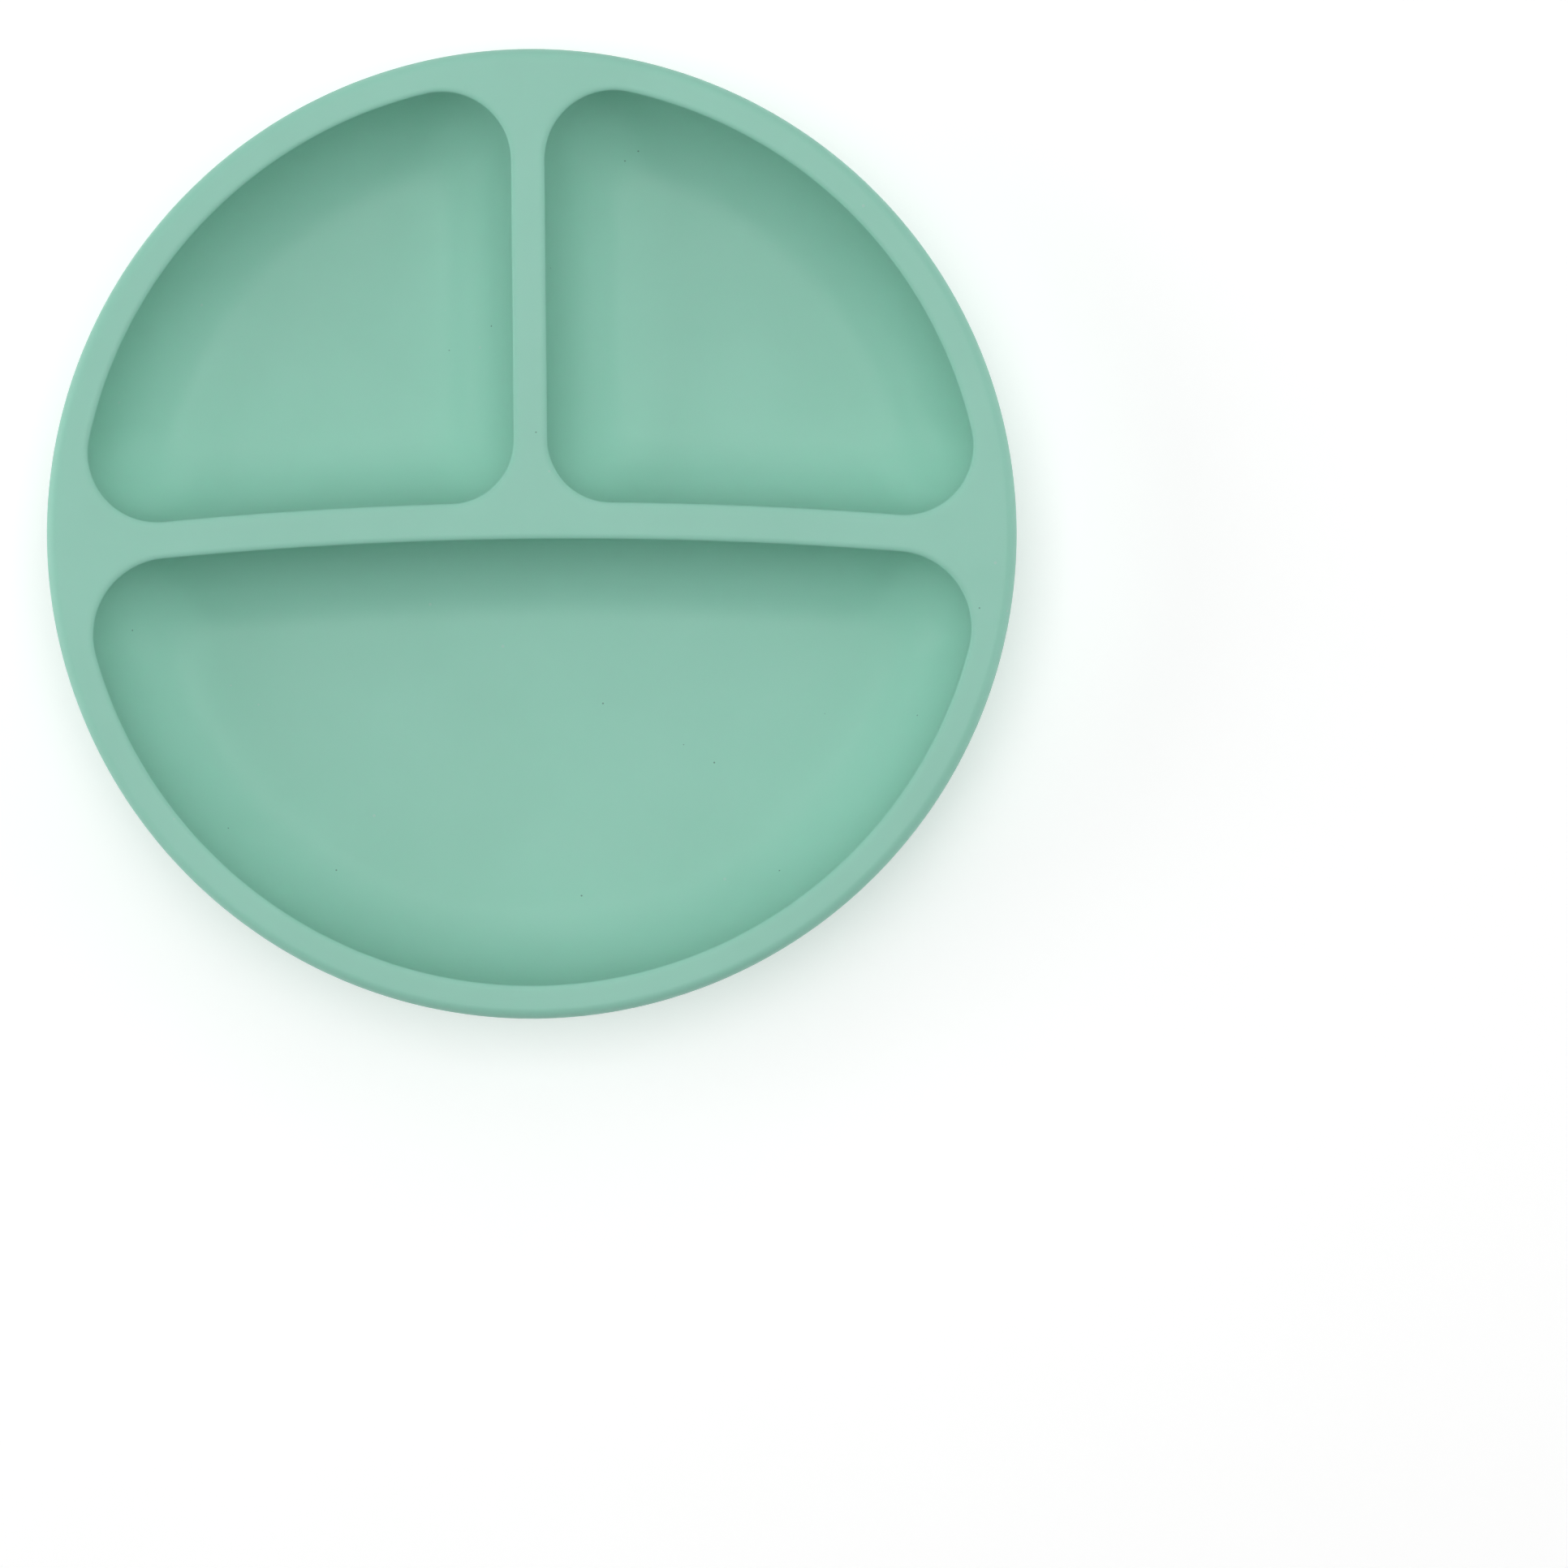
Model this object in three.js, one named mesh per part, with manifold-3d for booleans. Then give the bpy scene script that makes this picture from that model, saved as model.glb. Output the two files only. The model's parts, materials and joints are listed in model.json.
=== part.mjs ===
// A divided suction plate for toddlers, moulded in soft silicone. Millimetres, +Z up.
// The plate stands on four suction cups. Its origin is on the table, under the middle of the plate.
// +Y is the back, where the two quarter bowls are, and -Y is the front, where the half-moon bowl is.
import * as THREE from 'three';
import { LoftGeometry } from 'three/addons/geometries/LoftGeometry.js';
import { mergeVertices } from 'three/addons/utils/BufferGeometryUtils.js';
import Module from 'manifold-3d';

const wasm = await Module();
wasm.setup();

// ---- Driving dimensions -------------------------------------------------------------------------

const PLATE_RADIUS = 95;
const PLATE_HEIGHT = 30;
const OPENING_RADIUS = 89; // the arc that bounds every bowl's mouth, concentric with the plate
const SPINE_WIDTH = 6.6; // straight wall between the two quarter bowls
const ARCH_WIDTH = 7.2; // curved wall between them and the half-moon bowl
const ARCH_RADIUS = 830; // of the arch's middle line, whose centre lies towards the front
const ARCH_CREST_Y = 2.5; // where that middle line crosses the spine

const CORNER = { rim: 13.5, side: 13.5, tee: 12.5, front: 15 }; // corner radii of the bowls' mouths
const CORNER_SHRINK = 0.6; // how much of each inset a corner radius loses as the bowl deepens

const DRAFT = THREE.MathUtils.degToRad( 9 ); // lean of the bowl walls
const WALL = 2.2; // walls and floors alike
const FLOOR_UNDERSIDE = 7; // height of the bowls' flat undersides above the table
const INNER_FILLET = 12; // between wall and floor, inside the bowl

const DECK_THICKNESS = 3.4;
const DECK_EDGE_ROUNDING = 3;
const RING_OUTER_RADIUS = 93.8;
const RING_INNER_RADIUS = 85.2;
const RING_HEIGHT = 4;
const RING_ROUNDING = 1.8;

const TIE_WIDTH = 4;
const SPINE_TIES_Y = { outer: 64, inner: 22.5 };
const ARCH_TIES_X = { inner: 24, outer: 66 };

const RIB_WIDTH = 3;
const RIB_HEIGHT = 1.8;
const FRONT_RIB = { radius: 73.6, start: 197, end: 343 }; // middle line about the plate's centre, degrees
const BACK_RIB = { radius: 75.8, start: 22, end: 72 };

const CUP_RADIUS = 22;
const CUP_CENTRES = {
	front_left: [ - 33.5, - 33 ],
	front_right: [ 33.5, - 33 ],
	back_left: [ - 32.5, 40.5 ],
	back_right: [ 32.5, 40.5 ],
};
const SKIRT_ROOT_TOP = 4.4;
const SKIRT_ROOT_UNDERSIDE = 3.1;
const LIP_WIDTH = 1.8;
const LIP_THICKNESS = 0.8;
const LIP_STEP = 0.4; // how far the flat lip stands below the cone it edges
const STEM_RADIUS = 4.8;
const STEM_END = 2.7; // height of the stem's free end, the small disc in the middle of the cup

const CLEARANCE = 0.3; // between pieces that stand beside each other or slide

// ---- Derived dimensions -------------------------------------------------------------------------

const DECK_UNDERSIDE = PLATE_HEIGHT - DECK_THICKNESS;
const RING_UNDERSIDE = DECK_UNDERSIDE - RING_HEIGHT;
const FLOOR_TOP = FLOOR_UNDERSIDE + WALL;
const ARCH_CENTRE_Y = ARCH_CREST_Y - ARCH_RADIUS;
const WALL_ACROSS = WALL / Math.cos( DRAFT ); // a leaning wall's thickness, measured level
const CUT_PAST = 1; // how far a cutting tool reaches past the face it opens

// Steps along curves.
const PLATE_STEPS = 72;
const RIM_ARC_STEPS = { quarter: 10, half: 20 };
const ARCH_STEPS = { quarter: 4, half: 8 };
const CORNER_STEPS = 5;
const FILLET_STEPS = 4;
const CUP_STEPS = 32;
const STEM_STEPS = 24;
const RIB_STEPS = { front: 24, back: 10 };

// ---- Materials ----------------------------------------------------------------------------------

function plateSilicone() {

	return new THREE.MeshStandardMaterial( { color: 0x90c3b2, roughness: 0.6, metalness: 0 } );

}

function cupSilicone() {

	return new THREE.MeshStandardMaterial( { color: 0x9ad6c4, roughness: 0.35, metalness: 0 } );

}

// ---- Solids -------------------------------------------------------------------------------------

// The geometry as a solid that can be cut or joined.
function toSolid( geometry ) {

	const bare = new THREE.BufferGeometry();
	bare.setAttribute( 'position', geometry.getAttribute( 'position' ) );
	bare.setIndex( geometry.index );
	const merged = mergeVertices( bare );
	return new wasm.Manifold( new wasm.Mesh( {
		numProp: 3,
		vertProperties: merged.attributes.position.array,
		triVerts: new Uint32Array( merged.index.array ),
	} ) );

}

// The solid as a geometry that can be shown.
function toGeometry( solid ) {

	const { vertProperties, triVerts } = solid.getMesh();
	const geometry = new THREE.BufferGeometry();
	geometry.setAttribute( 'position', new THREE.BufferAttribute( vertProperties, 3 ) );
	geometry.setIndex( new THREE.BufferAttribute( triVerts, 1 ) );
	geometry.computeVertexNormals();
	return geometry;

}

// The first geometry with every tool cut out of it.
function cut( geometry, tools ) {

	const solid = tools.reduce( ( rest, tool ) => rest.subtract( toSolid( tool ) ), toSolid( geometry ) );
	return toGeometry( solid );

}

// A body of revolution about Z from [radius, height] points.
function revolve( profile, steps ) {

	const points = profile.map( ( [ radius, height ] ) => new THREE.Vector2( radius, height ) );
	return new THREE.LatheGeometry( points, steps ).rotateX( Math.PI / 2 );

}

// Points of an arc, both ends included, with angles in radians. It runs clockwise if to is below from.
function arc( centre, radius, from, to, steps ) {

	const curve = new THREE.EllipseCurve( centre.x, centre.y, radius, radius, from, to, to < from );
	return curve.getPoints( steps );

}

// ---- Outlines of the bowls ----------------------------------------------------------------------

const PLATE_CENTRE = new THREE.Vector2( 0, 0 );
const ARCH_CENTRE = new THREE.Vector2( 0, ARCH_CENTRE_Y );

// Where a circle about the plate's centre meets one about the arch's centre, on the +X side.
function meet( plateCircle, archCircle ) {

	const y = ( plateCircle ** 2 - archCircle ** 2 + ARCH_CENTRE_Y ** 2 ) / ( 2 * ARCH_CENTRE_Y );
	return new THREE.Vector2( Math.sqrt( plateCircle ** 2 - y ** 2 ), y );

}

function directionFrom( centre, point ) {

	return Math.atan2( point.y - centre.y, point.x - centre.x );

}

// The right quarter bowl, counter-clockwise. Its three sides are moved inwards by inset. A corner's
// centre is where the two sides meet once they are moved inwards by the corner's radius as well.
function rightQuarter( inset ) {

	const rim = OPENING_RADIUS - inset;
	const arch = ARCH_RADIUS + ARCH_WIDTH / 2 + inset;
	const spine = SPINE_WIDTH / 2 + inset;
	const shrink = CORNER_SHRINK * inset;
	const teeRadius = CORNER.tee - shrink;
	const sideRadius = CORNER.side - shrink;
	const rimRadius = CORNER.rim - shrink;

	const teeX = spine + teeRadius;
	const teeY = ARCH_CENTRE_Y + Math.sqrt( ( arch + teeRadius ) ** 2 - teeX ** 2 );
	const tee = new THREE.Vector2( teeX, teeY );
	const side = meet( rim - sideRadius, arch + sideRadius );
	const topX = spine + rimRadius;
	const top = new THREE.Vector2( topX, Math.sqrt( ( rim - rimRadius ) ** 2 - topX ** 2 ) );

	const teeOnArch = directionFrom( ARCH_CENTRE, tee );
	const sideOnArch = directionFrom( ARCH_CENTRE, side );
	const sideOnRim = directionFrom( PLATE_CENTRE, side );
	const topOnRim = directionFrom( PLATE_CENTRE, top );
	return [
		...arc( tee, teeRadius, - Math.PI, teeOnArch - Math.PI, CORNER_STEPS ),
		...arc( ARCH_CENTRE, arch, teeOnArch, sideOnArch, ARCH_STEPS.quarter ).slice( 1, - 1 ),
		...arc( side, sideRadius, sideOnArch - Math.PI, sideOnRim, CORNER_STEPS ),
		...arc( PLATE_CENTRE, rim, sideOnRim, topOnRim, RIM_ARC_STEPS.quarter ).slice( 1, - 1 ),
		...arc( top, rimRadius, topOnRim, Math.PI, CORNER_STEPS ),
	];

}

// The left quarter bowl is its mirror image, turned round to stay counter-clockwise.
function leftQuarter( inset ) {

	return rightQuarter( inset ).reverse().map( ( point ) => new THREE.Vector2( - point.x, point.y ) );

}

// The half-moon bowl, counter-clockwise from its left corner.
function halfMoon( inset ) {

	const rim = OPENING_RADIUS - inset;
	const arch = ARCH_RADIUS - ARCH_WIDTH / 2 - inset;
	const radius = CORNER.front - CORNER_SHRINK * inset;
	const right = meet( rim - radius, arch - radius );
	const left = new THREE.Vector2( - right.x, right.y );

	const rightOnArch = directionFrom( ARCH_CENTRE, right );
	const leftOnArch = directionFrom( ARCH_CENTRE, left );
	const rightOnRim = directionFrom( PLATE_CENTRE, right );
	const leftOnRim = Math.PI - rightOnRim;
	return [
		...arc( left, radius, leftOnArch, leftOnRim, CORNER_STEPS ),
		...arc( PLATE_CENTRE, rim, leftOnRim, rightOnRim + 2 * Math.PI, RIM_ARC_STEPS.half ).slice( 1, - 1 ),
		...arc( right, radius, rightOnRim, rightOnArch, CORNER_STEPS ),
		...arc( ARCH_CENTRE, arch, rightOnArch, leftOnArch, ARCH_STEPS.half ).slice( 1, - 1 ),
	];

}

const OUTLINES = { bowl_front: halfMoon, bowl_back_left: leftQuarter, bowl_back_right: rightQuarter };

// ---- Bowls --------------------------------------------------------------------------------------

// How far a wall's inner face has leaned inwards at a height. It starts at the deck's top.
function lean( height ) {

	return ( PLATE_HEIGHT - height ) * Math.tan( DRAFT );

}

// A body whose level sections are one outline at [inset, height] pairs, from the bottom up.
function stack( outline, levels ) {

	const sections = levels.map( ( [ inset, height ] ) =>
		outline( inset ).map( ( point ) => new THREE.Vector3( point.x, point.y, height ) ) );
	return new LoftGeometry( sections, { capStart: true, capEnd: true } );

}

// The levels of a bowl's face, standing proud of its inner face by thickness: flat floor, fillet, wall.
function bowlLevels( thickness, top ) {

	const fillet = INNER_FILLET + thickness;
	const centreHeight = FLOOR_TOP + INNER_FILLET;
	const wallStart = centreHeight - INNER_FILLET * Math.sin( DRAFT );
	const centreInset = lean( wallStart ) + INNER_FILLET * Math.cos( DRAFT );
	const sweep = Math.PI / 2 - DRAFT;
	const levels = [];
	for ( let step = 0; step <= FILLET_STEPS; step ++ ) {

		const turn = sweep * step / FILLET_STEPS;
		levels.push( [ centreInset - fillet * Math.sin( turn ), centreHeight - fillet * Math.cos( turn ) ] );

	}

	levels.push( [ lean( top ) - thickness / Math.cos( DRAFT ), top ] );
	return levels;

}

// The room inside a bowl, running out through the deck.
function bowlRoom( outline ) {

	return stack( outline, bowlLevels( 0, PLATE_HEIGHT + CUT_PAST ) );

}

function bowl( outline ) {

	return cut( stack( outline, bowlLevels( WALL, DECK_UNDERSIDE ) ), [ bowlRoom( outline ) ] );

}

// ---- Deck, ring and ties ------------------------------------------------------------------------

// A disc with a rounded top edge, opened by the three bowls. What is left is the rim and the divider.
function deck() {

	const rounding = DECK_EDGE_ROUNDING;
	const roundingCentre = new THREE.Vector2( PLATE_RADIUS - rounding, PLATE_HEIGHT - rounding );
	const edge = arc( roundingCentre, rounding, 0, Math.PI / 2, FILLET_STEPS );
	const disc = revolve( [
		[ 0, DECK_UNDERSIDE ],
		[ PLATE_RADIUS, DECK_UNDERSIDE ],
		...edge.map( ( point ) => [ point.x, point.y ] ),
		[ 0, PLATE_HEIGHT ],
	], PLATE_STEPS );
	return cut( disc, Object.values( OUTLINES ).map( bowlRoom ) );

}

// The thicker ring under the deck edge. The bowls pass through it, and it reaches inwards between them.
function ring() {

	const rounding = RING_ROUNDING;
	const roundingCentre = new THREE.Vector2( RING_OUTER_RADIUS - rounding, RING_UNDERSIDE + rounding );
	const edge = arc( roundingCentre, rounding, - Math.PI / 2, 0, FILLET_STEPS );
	const band = revolve( [
		[ RING_INNER_RADIUS, DECK_UNDERSIDE ],
		[ RING_INNER_RADIUS, RING_UNDERSIDE ],
		...edge.map( ( point ) => [ point.x, point.y ] ),
		[ RING_OUTER_RADIUS, DECK_UNDERSIDE ],
		[ RING_INNER_RADIUS, DECK_UNDERSIDE ],
	], PLATE_STEPS );
	const passage = [ RING_UNDERSIDE - CUT_PAST, DECK_UNDERSIDE + CUT_PAST ]
		.map( ( height ) => [ lean( height ) - WALL_ACROSS - CLEARANCE, height ] );
	return cut( band, Object.values( OUTLINES ).map( ( outline ) => stack( outline, passage ) ) );

}

// A short block across the gap between two bowls, under the divider. It widens as the walls lean away.
function tie( dividerWidth ) {

	const halfGap = ( height ) => dividerWidth / 2 + lean( height ) - WALL_ACROSS - CLEARANCE;
	const top = halfGap( DECK_UNDERSIDE );
	const bottom = halfGap( RING_UNDERSIDE );
	const section = new THREE.Shape( [
		new THREE.Vector2( - bottom, RING_UNDERSIDE ),
		new THREE.Vector2( bottom, RING_UNDERSIDE ),
		new THREE.Vector2( top, DECK_UNDERSIDE ),
		new THREE.Vector2( - top, DECK_UNDERSIDE ),
	] );
	const block = new THREE.ExtrudeGeometry( section, { depth: TIE_WIDTH, bevelEnabled: false } );
	return block.translate( 0, 0, - TIE_WIDTH / 2 ).rotateX( Math.PI / 2 );

}

// ---- Ribs ---------------------------------------------------------------------------------------

// A low arc with round ends under a bowl's floor, concentric with the plate.
function rib( { radius, start, end }, steps ) {

	const from = THREE.MathUtils.degToRad( start );
	const to = THREE.MathUtils.degToRad( end );
	const half = RIB_WIDTH / 2;
	const endCap = ( angle, turn ) => {

		const centre = new THREE.Vector2( Math.cos( angle ), Math.sin( angle ) ).multiplyScalar( radius );
		return arc( centre, half, angle + turn, angle + turn + Math.PI, CORNER_STEPS ).slice( 1, - 1 );

	};

	const outline = new THREE.Shape( [
		...arc( PLATE_CENTRE, radius + half, from, to, steps ),
		...endCap( to, 0 ),
		...arc( PLATE_CENTRE, radius - half, to, from, steps ),
		...endCap( from, Math.PI ),
	] );
	const band = new THREE.ExtrudeGeometry( outline, { depth: RIB_HEIGHT, bevelEnabled: false } );
	return band.translate( 0, 0, FLOOR_UNDERSIDE - RIB_HEIGHT );

}

// ---- Suction cups -------------------------------------------------------------------------------

// The skirt: a shallow cone, open in the middle for its stem, with a flat lip that lies on the table.
function skirt() {

	const root = STEM_RADIUS + CLEARANCE;
	const lipStart = CUP_RADIUS - LIP_WIDTH;
	const midway = ( root + lipStart ) / 2;
	const crown = 0.2; // the cone bows this far away from a straight one
	const underside = ( SKIRT_ROOT_UNDERSIDE + LIP_STEP ) / 2 + crown;
	const upside = ( SKIRT_ROOT_TOP + LIP_THICKNESS ) / 2 + crown;
	return revolve( [
		[ root, SKIRT_ROOT_UNDERSIDE ],
		[ midway, underside ],
		[ lipStart, LIP_STEP ],
		[ lipStart, 0 ],
		[ CUP_RADIUS, 0 ],
		[ CUP_RADIUS, LIP_THICKNESS ],
		[ midway, upside ],
		[ root, SKIRT_ROOT_TOP ],
		[ root, SKIRT_ROOT_UNDERSIDE ],
	], CUP_STEPS );

}

// The stem that carries the skirt. Its free end shows as a disc in the middle of the cup.
function stem() {

	const height = FLOOR_UNDERSIDE - STEM_END;
	const rod = new THREE.CylinderGeometry( STEM_RADIUS, STEM_RADIUS, height, STEM_STEPS );
	return rod.rotateX( Math.PI / 2 ).translate( 0, 0, STEM_END + height / 2 );

}

// ---- Assembly -----------------------------------------------------------------------------------

const plate = new THREE.Group();

function add( name, geometry, material, x = 0, y = 0, turn = 0 ) {

	const mesh = new THREE.Mesh( geometry, material );
	mesh.name = name;
	mesh.position.set( x, y, 0 );
	mesh.rotation.z = turn;
	plate.add( mesh );

}

add( 'divided_deck', deck(), plateSilicone() );
add( 'rim_ring', ring(), plateSilicone() );

for ( const [ name, outline ] of Object.entries( OUTLINES ) ) {

	add( name, bowl( outline ), plateSilicone() );

}

for ( const [ place, y ] of Object.entries( SPINE_TIES_Y ) ) {

	add( `cross_tie_back_${ place }`, tie( SPINE_WIDTH ), plateSilicone(), 0, y );

}

for ( const [ hand, sign ] of [ [ 'left', - 1 ], [ 'right', 1 ] ] ) {

	for ( const [ place, distance ] of Object.entries( ARCH_TIES_X ) ) {

		const x = sign * distance;
		const y = ARCH_CENTRE_Y + Math.sqrt( ARCH_RADIUS ** 2 - x ** 2 );
		const turn = directionFrom( ARCH_CENTRE, new THREE.Vector2( x, y ) );
		add( `cross_tie_${ hand }_${ place }`, tie( ARCH_WIDTH ), plateSilicone(), x, y, turn );

	}

}

const BACK_RIB_LEFT = { ...BACK_RIB, start: 180 - BACK_RIB.end, end: 180 - BACK_RIB.start };
add( 'grip_rib_front', rib( FRONT_RIB, RIB_STEPS.front ), plateSilicone() );
add( 'grip_rib_back_left', rib( BACK_RIB_LEFT, RIB_STEPS.back ), plateSilicone() );
add( 'grip_rib_back_right', rib( BACK_RIB, RIB_STEPS.back ), plateSilicone() );

for ( const [ place, [ x, y ] ] of Object.entries( CUP_CENTRES ) ) {

	add( `suction_cup_${ place }`, skirt(), cupSilicone(), x, y );
	add( `cup_stem_${ place }`, stem(), cupSilicone(), x, y );

}

export default plate;
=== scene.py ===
# %% [markdown]
# # A divided suction plate in soft silicone
#
# The object is a round plate for toddlers. On the real one everything is silicone: a deck with three bowls hanging
# from it, a ring that stiffens the rim, small bridges between the bowls, low ribs and four suction cups underneath.
# The measured model of it is loaded first and stays fixed. It gives the places and the outside sizes of the finer
# surfaces made here. Only the openings and the insides of the bowls are drawn softer than it has them.

# %% Load the measured model
import json
import math

import bmesh
import bpy
import numpy as np
from mathutils.geometry import delaunay_2d_cdt
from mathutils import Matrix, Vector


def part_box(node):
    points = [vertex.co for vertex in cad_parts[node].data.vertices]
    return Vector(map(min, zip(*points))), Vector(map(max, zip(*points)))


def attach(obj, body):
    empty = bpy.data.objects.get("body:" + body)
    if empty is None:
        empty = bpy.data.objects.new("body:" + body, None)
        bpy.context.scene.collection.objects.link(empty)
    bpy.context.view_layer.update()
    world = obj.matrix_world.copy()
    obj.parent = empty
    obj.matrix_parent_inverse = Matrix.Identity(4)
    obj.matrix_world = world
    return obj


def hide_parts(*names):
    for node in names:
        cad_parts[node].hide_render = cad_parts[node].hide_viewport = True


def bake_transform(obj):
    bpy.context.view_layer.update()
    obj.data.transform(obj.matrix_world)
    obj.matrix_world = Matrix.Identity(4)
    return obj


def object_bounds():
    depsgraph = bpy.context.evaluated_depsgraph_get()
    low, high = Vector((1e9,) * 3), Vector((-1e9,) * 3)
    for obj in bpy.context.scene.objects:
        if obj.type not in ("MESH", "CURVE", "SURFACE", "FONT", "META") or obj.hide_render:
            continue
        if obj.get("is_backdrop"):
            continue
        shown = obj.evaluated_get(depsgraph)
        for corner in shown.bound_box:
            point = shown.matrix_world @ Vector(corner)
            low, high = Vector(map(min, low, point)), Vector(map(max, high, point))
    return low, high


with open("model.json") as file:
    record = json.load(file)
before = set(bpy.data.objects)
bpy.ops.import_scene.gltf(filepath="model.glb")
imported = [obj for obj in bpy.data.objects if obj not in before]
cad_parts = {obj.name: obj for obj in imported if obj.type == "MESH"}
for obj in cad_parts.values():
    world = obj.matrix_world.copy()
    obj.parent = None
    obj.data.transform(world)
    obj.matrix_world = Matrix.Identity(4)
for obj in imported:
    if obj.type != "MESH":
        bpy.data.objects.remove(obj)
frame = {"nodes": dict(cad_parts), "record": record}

measured_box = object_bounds()

# %% [markdown]
# ## Sizes
#
# All sizes are in millimetres, because a plate is easier to think of that way, and one factor turns them into
# Blender's metres at the end. Heights and radii are read from the boxes of the measured parts. Only what a box can't
# say is given here: how wide the dividers are, how round the corners are and how far the walls lean.

# %% Read the sizes
MM = 0.001


def box_mm(node):
    """The lowest and the highest corner of a measured part, in millimetres."""
    low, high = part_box(node)
    return np.array(low) / MM, np.array(high) / MM


PLATE_RADIUS = box_mm("divided_deck")[1][0]
DECK_UNDERSIDE, DECK_TOP = (corner[2] for corner in box_mm("divided_deck"))
RING_RADIUS = box_mm("rim_ring")[1][0]
RING_UNDERSIDE = box_mm("rim_ring")[0][2]
FLOOR_UNDERSIDE = box_mm("bowl_front")[0][2]
MOUNTS = {mount["name"]: np.array(mount["pos_m"]) / MM for mount in frame["record"]["mounts"]}
FLOOR_TOP = MOUNTS["floor_front"][2]
WALL = FLOOR_TOP - FLOOR_UNDERSIDE

RIM_WIDTH = 6.6
OPENING_RADIUS = PLATE_RADIUS - RIM_WIDTH
SPINE_WIDTH = 6.6
ARCH_WIDTH = 7.2
ARCH_RADIUS = 830.0
ARCH_CREST_Y = 2.5
CORNERS = {"top": 13.5, "side": 13.5, "tee": 12.5, "front": 15.0}
CORNER_SHRINK = 0.6  # how much of each inset a corner's radius loses
DRAFT = math.radians(9)
INNER_FILLET = 12.0
WALL_ACROSS = WALL / math.cos(DRAFT)
SUNK = 0.3  # how far a piece reaches into the one that carries it
print(f"plate {2 * PLATE_RADIUS:.1f} mm across and {DECK_TOP:.1f} mm high, walls {WALL:.1f} mm")

# %% [markdown]
# ## Outlines of the three bowls
#
# Seen from above, a bowl's mouth is three sides and three soft corners, or two sides and two corners for the
# half-moon bowl. Every side is an arc of a circle about one of two centres, or the straight spine, so a corner's
# centre is simply where its two sides meet once both are moved inwards by the corner's radius. A drawn curve could
# be used instead, but the formula takes one number, the inset, and gives the outline at any depth of the bowl.

# %% Work out an outline at any inset
PLATE_CENTRE = (0.0, 0.0)
ARCH_CENTRE = (0.0, ARCH_CREST_Y - ARCH_RADIUS)
QUARTER_STEPS = {"tee": 22, "arch": 30, "side": 24, "rim": 60, "top": 22, "spine": 24}
HALF_MOON_STEPS = {"corner": 28, "rim": 150, "arch": 80}


def arc(centre, radius, start, end, steps):
    """Points at a radius about a centre, in equal turns from start up to, but without, end."""
    angle = np.linspace(start, end, steps, endpoint=False)
    return np.column_stack((centre[0] + radius * np.cos(angle), centre[1] + radius * np.sin(angle)))


def direction(centre, point):
    """The angle at which a point lies from a centre."""
    return math.atan2(point[1] - centre[1], point[0] - centre[0])


def crossing(plate_circle, arch_circle):
    """Where a circle about the plate's centre meets one about the arch's centre, on the right.
    Subtracting the two circle equations leaves y alone, and x follows from the first of them."""
    offset = ARCH_CENTRE[1]
    y = (plate_circle**2 - arch_circle**2 + offset**2) / (2 * offset)
    return math.sqrt(plate_circle**2 - y**2), y


def right_quarter(inset):
    """The right quarter bowl, counter-clockwise: each side is moved inwards by inset, and each corner's
    radius is its radius at the mouth less a part of the inset."""
    rim = OPENING_RADIUS - inset
    arch = ARCH_RADIUS + ARCH_WIDTH / 2 + inset
    spine = SPINE_WIDTH / 2 + inset
    tee_radius, side_radius, top_radius = (
        CORNERS[name] - CORNER_SHRINK * inset for name in ("tee", "side", "top"))
    tee_x = spine + tee_radius
    tee = tee_x, ARCH_CENTRE[1] + math.sqrt((arch + tee_radius) ** 2 - tee_x**2)
    side = crossing(rim - side_radius, arch + side_radius)
    top_x = spine + top_radius
    top = top_x, math.sqrt((rim - top_radius) ** 2 - top_x**2)
    tee_on_arch = direction(ARCH_CENTRE, tee)
    side_on_arch = direction(ARCH_CENTRE, side)
    side_on_rim = direction(PLATE_CENTRE, side)
    top_on_rim = direction(PLATE_CENTRE, top)
    steps = QUARTER_STEPS
    return np.vstack((
        arc(tee, tee_radius, -math.pi, tee_on_arch - math.pi, steps["tee"]),
        arc(ARCH_CENTRE, arch, tee_on_arch, side_on_arch, steps["arch"]),
        arc(side, side_radius, side_on_arch - math.pi, side_on_rim, steps["side"]),
        arc(PLATE_CENTRE, rim, side_on_rim, top_on_rim, steps["rim"]),
        arc(top, top_radius, top_on_rim, math.pi, steps["top"]),
        np.linspace((spine, top[1]), (spine, tee[1]), steps["spine"], endpoint=False),
    ))


def left_quarter(inset):
    """The right quarter mirrored in the spine, in the opposite order so that it stays counter-clockwise."""
    return right_quarter(inset)[::-1] * (-1, 1)


def half_moon(inset):
    """The half-moon bowl, counter-clockwise from its left corner."""
    rim = OPENING_RADIUS - inset
    arch = ARCH_RADIUS - ARCH_WIDTH / 2 - inset
    radius = CORNERS["front"] - CORNER_SHRINK * inset
    right = crossing(rim - radius, arch - radius)
    left = -right[0], right[1]
    right_on_arch, left_on_arch = direction(ARCH_CENTRE, right), direction(ARCH_CENTRE, left)
    right_on_rim = direction(PLATE_CENTRE, right)
    left_on_rim = math.pi - right_on_rim
    steps = HALF_MOON_STEPS
    return np.vstack((
        arc(left, radius, left_on_arch, left_on_rim, steps["corner"]),
        arc(PLATE_CENTRE, rim, left_on_rim, right_on_rim + 2 * math.pi, steps["rim"]),
        arc(right, radius, right_on_rim, right_on_arch, steps["corner"]),
        arc(ARCH_CENTRE, arch, right_on_arch, left_on_arch, steps["arch"]),
    ))


OUTLINES = (half_moon, left_quarter, right_quarter)
for outline in OUTLINES:
    print(outline.__name__, "has", len(outline(0)), "points")

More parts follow.
